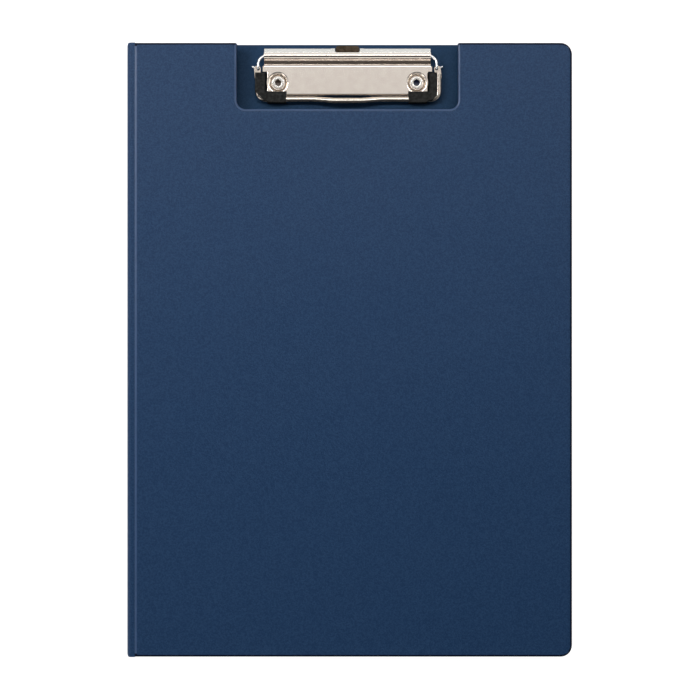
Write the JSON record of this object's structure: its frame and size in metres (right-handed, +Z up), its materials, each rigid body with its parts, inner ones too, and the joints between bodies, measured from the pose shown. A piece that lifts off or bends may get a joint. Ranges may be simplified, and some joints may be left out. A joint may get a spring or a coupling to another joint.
{
  "type": "clipboard folder",
  "caption": "Folding clipboard for A4 paper: back panel with a sprung wire clip, spine, and a hinged cover notched round the clip.",
  "frame": {"origin": "centre of the closed folder's outline, on the surface that its back lies on", "axes": "+X from the spine to the free edge, +Y up the page to the clip's end, +Z up out of the cover"},
  "size_m": [0.232, 0.32, 0.012],
  "materials": {
    "navy_film": "fine matte grain",
    "liner_film": "fine matte grain",
    "greyboard": "plain board",
    "nickel_plate": "nickel plated, satin",
    "rivet_nickel": "nickel plated",
    "jaw_nickel": "nickel plated, bright",
    "spring_wire": "bright spring wire",
    "dark_bronze": "dark bronze plated",
    "black_rubber": "moulded, matte"
  },
  "bodies": {
    "back": {"back_board": "greyboard", "back_cover_film": "navy_film", "back_liner": "liner_film", "clip_base_plate": "nickel_plate", "left_rivet": "rivet_nickel", "right_rivet": "rivet_nickel"},
    "spine": {"spine_board": "greyboard", "spine_film": "navy_film", "spine_liner": "liner_film", "rear_hinge_film": "navy_film", "front_hinge_film": "navy_film"},
    "cover": {"cover_board": "greyboard", "cover_film": "navy_film", "cover_liner": "liner_film", "cover_pocket": "liner_film"},
    "jaw": {"jaw_wire": "jaw_nickel", "left_jaw_pad": "black_rubber", "right_jaw_pad": "black_rubber", "torsion_wire": "spring_wire"},
    "hook": {"hanging_hook": "dark_bronze"}
  },
  "joints": [
    {"name": "rear_hinge", "type": "hinge", "parent": "back", "child": "spine", "pos_m": [-0.11503, 0, 0.00097], "axis": [0, -1, 0], "range_deg": [0, 90], "deforming": ["rear_hinge_film"]},
    {"name": "front_hinge", "type": "hinge", "parent": "spine", "child": "cover", "pos_m": [-0.11503, 0, 0.01103], "axis": [0, -1, 0], "range_deg": [0, 90], "deforming": ["front_hinge_film"]},
    {"name": "jaw_hinge", "type": "hinge", "parent": "back", "child": "jaw", "pos_m": [-0.0011, 0.1538, 0.0063], "axis": [-1, 0, 0], "range_deg": [0, 90], "stiffness_Nm_per_rad": 0.06, "springref_deg": -45.84},
    {"name": "hook_slide", "type": "slide", "parent": "back", "child": "hook", "axis": [0, 1, 0], "range_m": [0, 0.012]}
  ]
}
